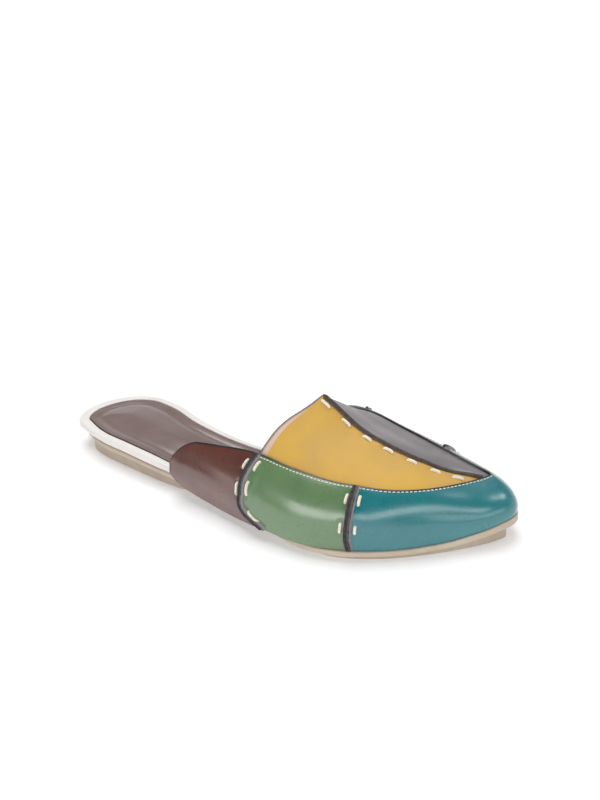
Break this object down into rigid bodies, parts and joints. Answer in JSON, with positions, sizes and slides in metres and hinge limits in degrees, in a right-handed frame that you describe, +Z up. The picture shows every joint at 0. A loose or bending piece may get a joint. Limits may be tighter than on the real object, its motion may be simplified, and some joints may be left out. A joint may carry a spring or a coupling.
{
  "type": "flat mule shoe",
  "caption": "Backless flat shoe with a pointed toe, patchwork leather upper with raised seams, wrapped footbed and low rubber sole.",
  "frame": {"origin": "middle of the box round the shoe, on the floor it stands on", "axes": "+X from heel to toe, +Y to the inner (medial) side, +Z up"},
  "size_m": [0.2514, 0.0856, 0.0583],
  "materials": {
    "outsole": "matte beige",
    "heel_lift": "matte beige",
    "forefoot_tread": "matte beige",
    "footbed": "cream wrap, satin",
    "sock": "brown, glossy",
    "upper": "patchwork of smooth glossy leathers",
    "seam_center": "dark raw edge",
    "seam_lateral_rear": "dark raw edge",
    "seam_lateral_front": "dark raw edge",
    "seam_medial_rear": "dark raw edge",
    "seam_medial_front": "dark raw edge"
  },
  "bodies": {
    "root": {"outsole": "outsole", "heel_lift": "heel_lift", "forefoot_tread": "forefoot_tread", "footbed": "footbed", "sock": "sock", "upper": "upper", "seam_center": "seam_center", "seam_lateral_rear": "seam_lateral_rear", "seam_lateral_front": "seam_lateral_front", "seam_medial_rear": "seam_medial_rear", "seam_medial_front": "seam_medial_front"}
  },
  "joints": []
}
